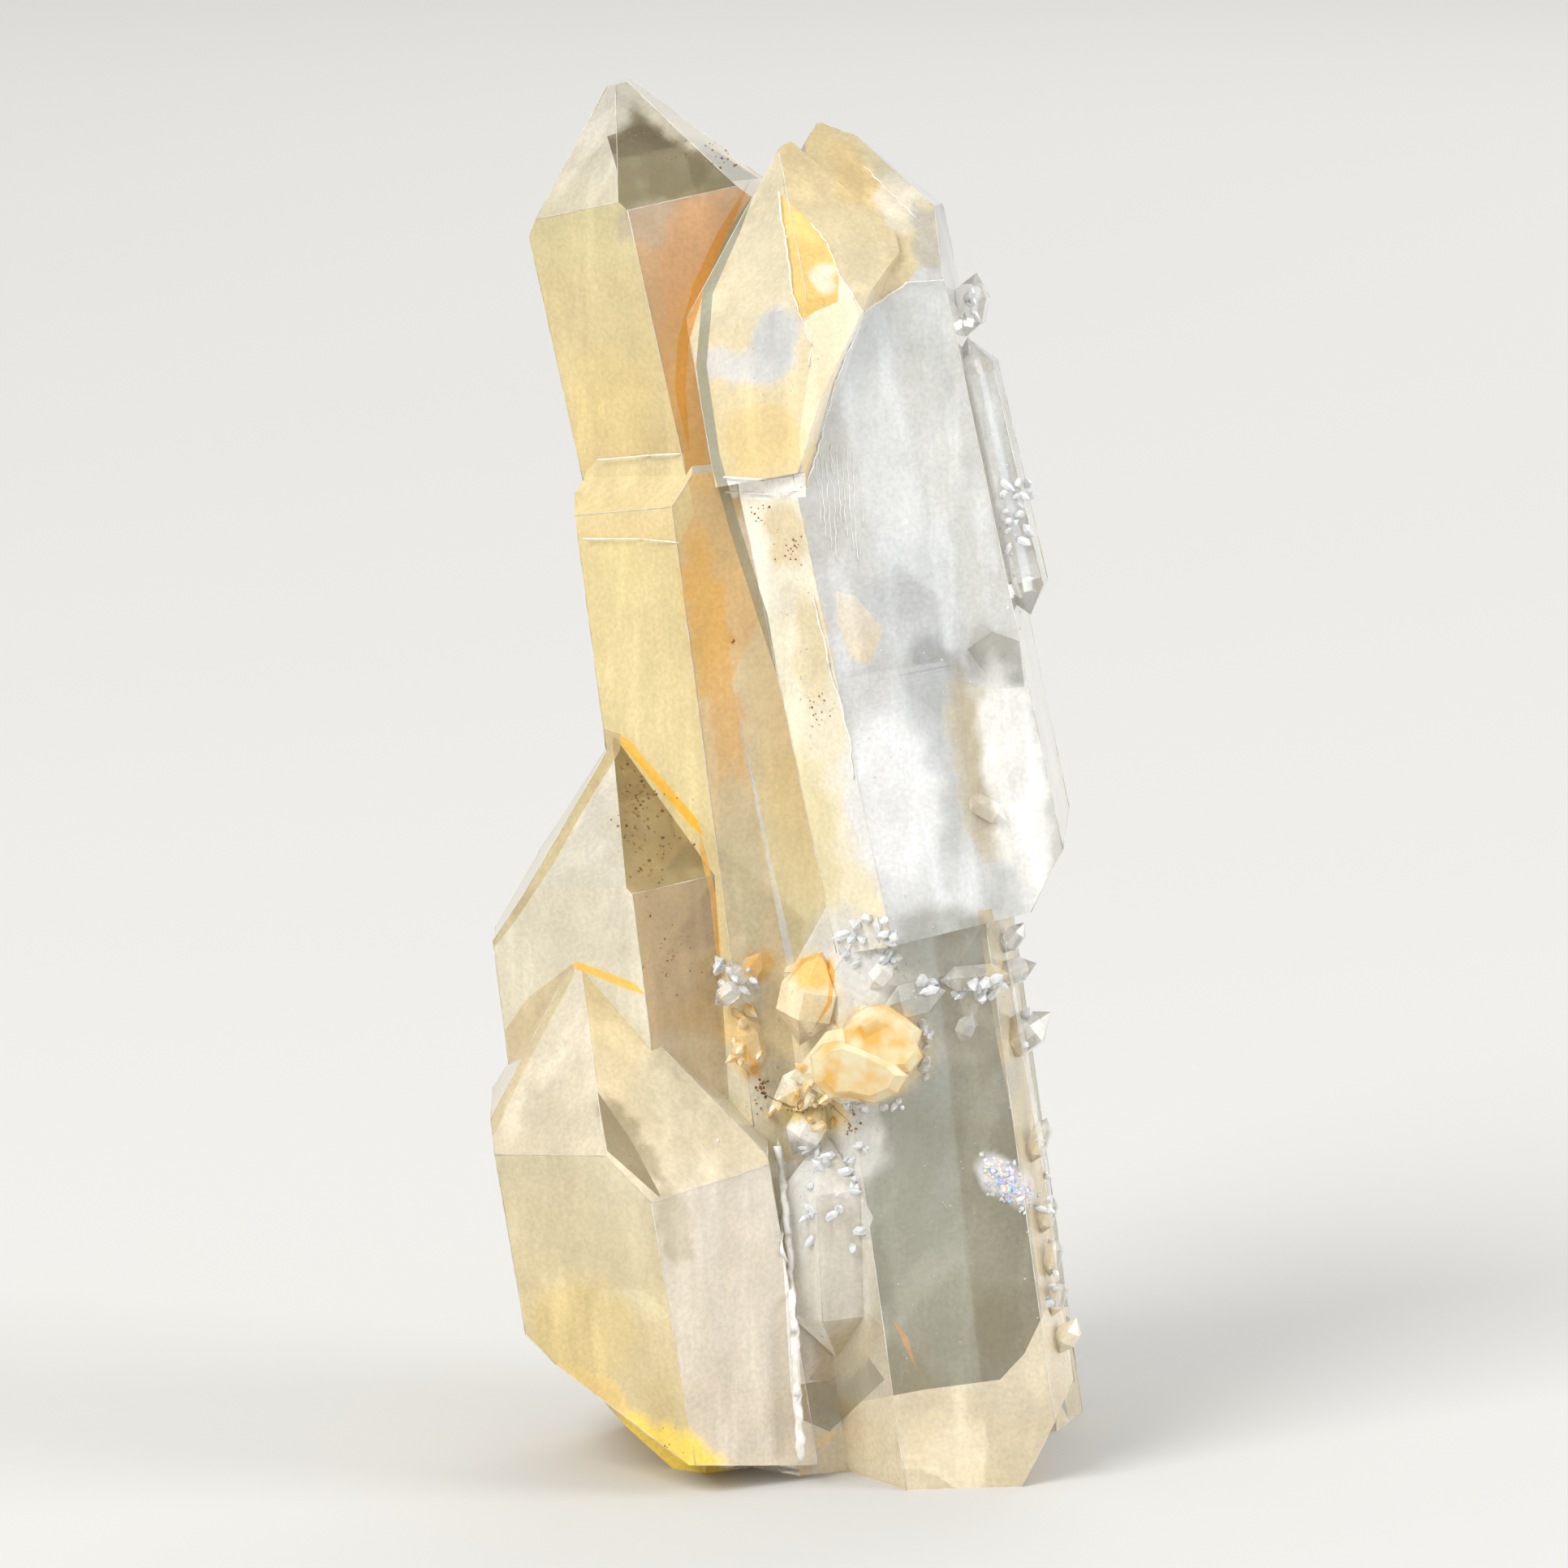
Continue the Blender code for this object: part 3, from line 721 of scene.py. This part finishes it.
def makeGrains(name, grains, material, seed):
    # Small rough grains, each given as its place and radius.
    chance = random.Random(seed)
    bm = bmesh.new()
    for place, radius in grains:
        turn = Matrix.Rotation(chance.uniform(0, 6), 4, Vector((chance.random(), chance.random(), 1)))
        grain = bmesh.ops.create_icosphere(bm, subdivisions=1, radius=radius,
                                           matrix=Matrix.Translation(place) @ turn)
        for vert in grain["verts"]:
            vert.co += (vert.co - place) * chance.uniform(-0.45, 0.25)
    mesh = bpy.data.meshes.new(name)
    bm.to_mesh(mesh)
    bm.free()
    addPiece(name, mesh, material)


def strewn(beds, seed, reach, largest):
    # Places and radii of grains strewn over beds like those of the glints.
    chance = random.Random(seed)
    grains = []
    for centre, half, count, radius in beds.values():
        for k in range(count):
            x, y = (centre[i] + half[i] * max(-reach, min(reach, chance.gauss(0, 0.6))) for i in (0, 1))
            place, normal, index = touch(x, y)
            if place is not None:
                grains.append((place - normal * 0.02 * mm, radius * mm * chance.uniform(0.4, largest)))
    return grains


def mottled(name, darker, paler, grainSize, roughness, clear):
    # A material whose colour drifts between two shades over a real grain size in mm.
    material, tree, shader = newMaterial(name, roughness)
    where = makeNode(tree, "TexCoord").outputs["Object"]
    grain = makeNode(tree, "TexNoise", Vector=where, Scale=1000 / grainSize, Detail=2)
    spread = makeNode(tree, "MapRange", Value=grain, From_Min=0.35, From_Max=0.62)
    shade = makeNode(tree, "Mix", {"data_type": "RGBA"}, Factor=spread,
                     i6=(*linear(darker), 1), i7=(*linear(paler), 1))
    tree.links.new(shade.outputs[2], shader.inputs["Base Color"])
    bump = makeNode(tree, "Bump", Strength=0.4, Distance=0.04 * mm, Height=grain)
    tree.links.new(bump.outputs["Normal"], shader.inputs["Normal"])
    shader.inputs["Transmission Weight"].default_value = clear
    return material


# Worn edges and painted edge highlights. The real one has none in the bare zones: centre, half
# size in photo pixels.
edgeWearAndPaintedHighlight = {"radius": 0.04 * mm, "step": 1.5 * mm, "least angle": 14, "least length": 1.2 * mm}
bareZones = [((980, 392), (135, 62)), ((1080, 300), (62, 110)), ((1110, 835), (110, 40)),
             ((1060, 480), (50, 110)), ((690, 1095), (75, 22)), ((1150, 1130), (120, 50)),
             ((765, 1010), (14, 90))]


def makeEdges():
    chance = random.Random(11)
    lines = []
    for edge in coarse.edges:
        length = edge.calc_length()
        if len(edge.link_faces) < 2 or length < edgeWearAndPaintedHighlight["least length"]:
            continue
        if min(face.calc_area() for face in edge.link_faces) < facets["small"]:
            continue
        if edge.calc_face_angle_signed(0) < math.radians(edgeWearAndPaintedHighlight["least angle"]):
            continue
        count = max(2, round(length / edgeWearAndPaintedHighlight["step"]))
        a, b = edge.verts[0].co, edge.verts[1].co
        x, y = (value[0] for value in onPhoto([(a + b) / 2]))
        facing = any(face.normal.dot(towards) < 0 for face in edge.link_faces)
        if facing and any(abs(x - cx) < hx and abs(y - cy) < hy for (cx, cy), (hx, hy) in bareZones):
            continue
        points = [a.lerp(b, k / count) for k in range(count + 1)]
        lines.append((points, [edgeWearAndPaintedHighlight["radius"] * chance.uniform(0.25, 1) for point in points]))
    # Pale edge line: partly wear crushed by knocks, which scatters light, partly painted highlight.
    material = mottled("worn_edge_and_painted_highlight", "#E9DFC8", "#FFFDF6", 0.6, 0.3, 0.35)
    makeTubes("crystal_edges", lines, material, sides=4)


# White threads: the faden, a healed line of fine fibres and bubbles along the seam between the
# crystals, and hair lines along ledges and edges, which are partly painted highlight. Points in
# photo pixels, radius in mm.
threads = {
    "faden": ([(957, 1412), (963, 1440), (966, 1480), (971, 1520), (973, 1560), (978, 1640), (982, 1720),
      (987, 1800)], 0.24),
    "faden branch": ([(966, 1480), (962, 1530), (972, 1570)], 0.12),
    "ledge line": ([(890, 588), (940, 592), (990, 586)], 0.07),
    "second ledge line": ([(893, 606), (945, 609), (990, 603)], 0.06),
    "seam of yellow body": ([(1003, 735), (1022, 820), (1045, 905), (1052, 960)], 0.06),
    "line under kite": ([(1063, 388), (1030, 468), (1012, 540), (994, 600)], 0.05),
    "kite's inner edge": ([(958, 236), (967, 291), (976, 360), (990, 401), (1001, 426), (997, 451)], 0.05),
    "kite's upper right edge": ([(1000, 275), (1020, 300), (1034, 337), (1064, 385)], 0.04),
    "shaft's end, inner edge": ([(1065, 205), (1130, 270)], 0.04),
    "shaft's end, lower edge": ([(1064, 385), (1118, 348), (1163, 345)], 0.04),
    "step line": ([(735, 567), (800, 561), (842, 559)], 0.05),
    "lower step line": ([(708, 664), (790, 664), (838, 669)], 0.05),
}
threadShape = {"step": 9, "wander": 1.5, "lift": 0.4, "faden lift": 0.8 * mm}

# fine striations along the shaft, about a quarter of a millimetre apart
for k in range(9):
    ends = [(1004 + 6.5 * k, 548 + 9 * (k % 3)), (1012 + 6.5 * k, 650 + 14 * (k % 4))]
    threads[f"striation {k}"] = (ends, 0.022)


def threadOn(points, radius, lift, seed):
    # A thread that wanders a little along points of the photograph. It bridges the creases, so
    # its depth is the nearest one around each point.
    chance = random.Random(seed)
    rays, depths = [], []
    for (ax, ay), (bx, by) in zip(points, points[1:]):
        count = max(1, round(math.hypot(bx - ax, by - ay) / threadShape["step"]))
        for k in range(count + 1):
            x, y = ax + (bx - ax) * k / count, ay + (by - ay) * k / count
            ray = rayThrough(x + threadShape["wander"] * chance.uniform(-1, 1), y)
            place = facetTree.ray_cast(eye, ray)[0]
            if place is not None:
                rays.append(ray)
                depths.append((place - eye).dot(towards))
    near = [min(depths[max(0, k - 1):k + 2]) for k in range(len(depths))]
    around = [near[max(0, k - 1):k + 2] for k in range(len(near))]
    even = [sum(group) / len(group) for group in around]
    places = [eye + ray * ((depth - lift) / ray.dot(towards)) for ray, depth in zip(rays, even)]
    return places, [radius * chance.uniform(0.5, 1.1) for place in places]


def makeThreads():
    lines = []
    for seed, (name, (points, radius)) in enumerate(threads.items()):
        lift = threadShape["faden lift"] if name == "faden" else threadShape["lift"] * radius * mm
        line = threadOn(points, radius * mm, lift, seed)
        if len(line[0]) > 1:
            lines.append(line)
    # Healed fibres: a bundle finer than the eye can part, so it is white, dull and hardly clear. The same
    # white also paints the edge highlights of the hair lines.
    material = mottled("healed_fibre_and_painted_edge_highlight", "#EFE9DA", "#FFFFFF", 0.3, 0.45, 0.1)
    makeTubes("faden_threads", lines, material)


# White grains for bright bubbles and for painted glints where cleavage faces catch the light: centre
# and half size in photo pixels, number and radius in mm.
glints = {
    "shaft": ((1105, 600), (75, 170), 40, 0.05), "middle of shaft": ((1110, 860), (80, 70), 40, 0.08),
    "kite": ((950, 455), (45, 40), 18, 0.08), "ledge": ((940, 598), (50, 14), 24, 0.07),
    "beaded seam": ((985, 790), (26, 80), 46, 0.08), "yellow body": ((985, 1010), (40, 110), 24, 0.06),
    "foot": ((800, 760), (70, 130), 26, 0.04), "tall face": ((745, 430), (60, 130), 22, 0.04),
    "cluster": ((1010, 1330), (90, 100), 60, 0.1), "clear cluster": ((1080, 1170), (50, 50), 50, 0.1),
    "clear window": ((1160, 1450), (85, 230), 60, 0.05), "seam": ((1000, 1600), (30, 170), 50, 0.09),
    "fracture": ((1243, 1458), (22, 18), 80, 0.16), "low fracture": ((1264, 1480), (12, 10), 30, 0.14),
    "right rim": ((1285, 1400), (18, 230), 60, 0.09), "low crystal": ((860, 1600), (110, 170), 40, 0.05),
    "right slab": ((1245, 620), (26, 110), 40, 0.09), "belt": ((1190, 1215), (60, 16), 36, 0.1),
}


def makeGlints():
    # White grains: partly fresh chips of clean broken quartz, partly painted glints that flash white.
    material = mottled("chips_and_painted_glints", "#E6EAEC", "#FFFFFF", 0.2, 0.1, 0.4)
    makeGrains("glints", strewn(glints, 5, 1.4, 1.1), material, 6)


# A healed crack with a film of air in it, along a leaning line of the photograph. Centre and
# spread in pixels, radius, patches of colour and depth in mm.
fracture = {"centre": (1242, 1456), "lean": (0.77, 0.64), "spread": (20, 8), "count": 90,
            "radius": (0.07, 0.2), "patch": 0.5, "roughness": 0.12, "depth": 0.03,
            "shades": ("#F4F2FF", "#D9A9E6", "#8FB4EE", "#BFEBD2", "#F6E3A4", "#F3A9C8", "#FFFFFF")}


def rainbowFilm():
    # A thin air film splits light, so grains side by side look pink, blue, green or yellow.
    material, tree, shader = newMaterial("rainbow_fracture_film", fracture["roughness"])
    where = makeNode(tree, "TexCoord").outputs["Object"]
    patch = makeNode(tree, "TexNoise", Vector=where, Scale=1000 / fracture["patch"], Detail=0)
    ramp = makeNode(tree, "ValToRGB", Fac=patch)
    shades, stops = fracture["shades"], ramp.color_ramp.elements
    while len(stops) < len(shades):
        stops.new(0.5)
    for k, (stop, shade) in enumerate(zip(stops, shades)):
        stop.position = 0.3 + 0.4 * k / (len(shades) - 1)
        stop.color = (*linear(shade), 1)
    tree.links.new(ramp.outputs["Color"], shader.inputs["Base Color"])
    return material


def makeFracture():
    chance = random.Random(31)
    (cx, cy), (dx, dy) = fracture["centre"], fracture["lean"]
    grains = []
    for k in range(fracture["count"]):
        along, across = (chance.gauss(0, spread) for spread in fracture["spread"])
        place, normal, index = touch(cx + along * dx - across * dy, cy + along * dy + across * dx)
        if place is not None:
            radius = mm * chance.uniform(*fracture["radius"])
            grains.append((place - normal * fracture["depth"] * mm, radius))
    makeGrains("rainbow_fracture", grains, rainbowFilm(), 32)


# Brown iron oxide that settled in the hollows, given like the glints.
ironSpots = {
    "under bead": ((938, 1340), (7, 22), 22, 0.1), "crevice": ((985, 1366), (50, 6), 40, 0.07),
    "crevice, right": ((1050, 1385), (8, 16), 14, 0.08), "body, upper": ((935, 636), (10, 14), 18, 0.07),
    "body, second": ((972, 676), (14, 18), 24, 0.07), "body, low": ((1010, 872), (14, 18), 20, 0.06),
    "middle window": ((805, 1040), (40, 50), 70, 0.085),
    "middle window, rim": ((785, 985), (16, 34), 50, 0.085),
    "peach face": ((830, 1170), (34, 50), 44, 0.07), "olive window rim": ((880, 190), (48, 18), 60, 0.07),
    "tip rim": ((790, 166), (26, 6), 22, 0.05), "shaft rim": ((1135, 265), (16, 34), 28, 0.04),
    "low end": ((775, 1400), (20, 46), 30, 0.035), "corner stain": ((800, 1780), (46, 18), 24, 0.05),
    "grey mark": ((905, 790), (3, 6), 8, 0.09),
}


def makeIronSpots():
    # Iron oxide: earthy grains, so they are dull, dark and not see-through.
    material = mottled("iron_oxide_grains", "#4E3A18", "#A8783A", 0.2, 0.6, 0.0)
    makeGrains("iron_spots", strewn(ironSpots, 8, 1.3, 1.2), material, 9)


# The flat amber crystals of the middle cluster: outline in photo pixels, a pixel whose depth it
# sits at, and in mm how far forward it stands, how thick it is and how much deeper it gets with
# each pixel to the right and down.
tablets = {
    "amber_tablet": ([(1038, 1268), (1052, 1250), (1067, 1240), (1092, 1237), (1118, 1254), (1137, 1270),
      (1132, 1288), (1138, 1302), (1122, 1322), (1080, 1326), (1046, 1306)], (1070, 1290), 0.2, 1.9,
      (0.012, -0.006)),
    "amber_tablet_low": ([(998, 1302), (1012, 1286), (1034, 1282), (1062, 1292), (1104, 1312), (1120, 1326),
      (1108, 1347), (1078, 1360), (1046, 1352), (1022, 1354), (1002, 1334)], (1050, 1320), 0.9, 1.8,
      (-0.008, 0.012)),
    "amber_tablet_small": ([(1058, 1262), (1080, 1250), (1104, 1262), (1108, 1284), (1086, 1296),
      (1060, 1286)], (1080, 1275), 0.9, 1.4, (0.02, 0.01)),
}
# Each tablet's rings from front to back: how wide, and how deep as a share of its thickness.
tabletRings = ((0.74, 0), (0.96, 0.22), (1, 0.5), (0.94, 0.85), (0.7, 1))


def makeTablets():
    # Iron-stained quartz: see-through yellow with cloudy orange, and a slightly dull skin.
    material = mottled("iron_stained_quartz", "#FCC765", "#FFF4CC", 1.3, 0.25, 0.3)
    for name, (outline, at, forward, thick, tilt) in tablets.items():
        depth = (touch(*at)[0] - eye).dot(towards) - forward * mm
        middle = [sum(p[i] for p in outline) / len(outline) for i in (0, 1)]
        verts, count = [], len(outline)
        for inset, share in tabletRings:
            for k, (x, y) in enumerate(outline):
                dx, dy = (x - middle[0]) * inset, (y - middle[1]) * inset
                ray = rayThrough(middle[0] + dx, middle[1] + dy)
                uneven = 0.12 * noise.noise(Vector((k * 0.9, inset * 4, 2))) if share else 0
                step = thick * share + (tilt[0] * dx + tilt[1] * dy) + uneven
                verts.append(eye + ray * ((depth + step * mm) / ray.dot(towards)))
        faces = [tuple(range(count - 1, -1, -1)), tuple(range(len(verts) - count, len(verts)))]
        for ring in range(len(tabletRings) - 1):
            for k in range(count):
                a, b = ring * count + k, ring * count + (k + 1) % count
                faces.append((a, b, b + count, a + count))
        addPiece(name, meshFrom(name, verts, faces), material)


# Tiny quartz points that grew over the joints, given like the glints but with their length, and
# one point's shape as shares of that length.
pointBeds = {
    "clear_points": {"by seam": ((905, 1203), (24, 20), 12, 1.2), "middle": ((1078, 1165), (38, 34), 20,
      1.3), "belt": ((1190, 1216), (56, 13), 16, 1.4), "wedge": ((1030, 1480), (36, 60), 18, 1.1),
      "right rim": ((1294, 1500), (8, 150), 22, 1), "slab": ((1252, 650), (18, 60), 16, 1.1),
      "knob": ((1203, 378), (12, 16), 7, 1.2), "under slab": ((1275, 1260), (14, 60), 10, 1.2),
      "tablet's rim": ((1138, 1292), (7, 40), 14, 1.2), "tablet's foot": ((1085, 1362), (40, 8), 12, 1),
      "wedge's top": ((1030, 1415), (50, 14), 14, 1)},
    "amber_points": {"under tablet": ((985, 1368), (46, 22), 16, 1.3), "by stub": ((922, 1280), (18, 40),
      10, 1.2), "beside tablet": ((1000, 1335), (20, 24), 8, 1.2), "over tablet": ((1060, 1262), (34, 14),
      9, 1.5)},
}
pointShape = {"lean": 0.9, "sizes": (0.5, 1.1), "root": 0.45, "rings": (-0.2, 0.25), "tip": 0.55,
              "thick": 0.2, "thickness": (0.85, 1.1)}


def pointCorners(place, normal, length, chance):
    # The corners of one point, from its root over two rings to its tip.
    shape = pointShape
    lean = Vector([chance.uniform(-shape["lean"], shape["lean"]) for i in range(3)])
    axis = (normal + lean).normalized()
    size = length * mm * chance.uniform(*shape["sizes"])
    across = axis.orthogonal().normalized()
    over = axis.cross(across)
    corners = [place - axis * size * shape["root"]]
    for up in shape["rings"]:
        for side in range(6):
            angle = math.radians(60 * side)
            out = across * math.cos(angle) + over * math.sin(angle)
            out = out * size * shape["thick"] * chance.uniform(*shape["thickness"])
            corners.append(place + axis * size * up + out)
    return corners + [place + axis * size * shape["tip"]]


def makePoints():
    # Clear points: small clean crystals, glassy and nearly white. Amber ones have an iron stain.
    clear = mottled("clear_quartz_points", "#EEF2F4", "#FFFFFF", 0.5, 0.05, 0.3)
    amber = mottled("amber_quartz_points", "#FFC866", "#FFF4D4", 0.6, 0.1, 0.25)
    chance = random.Random(21)
    for (name, beds), material in zip(pointBeds.items(), (clear, amber)):
        verts, faces = [], []
        for centre, half, count, length in beds.values():
            for k in range(count):
                x, y = (centre[i] + half[i] * chance.uniform(-1, 1) for i in (0, 1))
                place, normal, index = touch(x, y)
                if place is None:
                    continue
                first = len(verts)
                verts += pointCorners(place, normal, length, chance)
                for side in range(6):
                    a, b = first + 1 + side, first + 1 + (side + 1) % 6
                    faces += [(first, b, a), (a, b, b + 6, a + 6), (a + 6, b + 6, first + 13)]
        addPiece(name, meshFrom(name, verts, faces), material)


makeFineCluster()
makeEdges()
makeThreads()
makeGlints()
makeFracture()
makeIronSpots()
makeTablets()
makePoints()
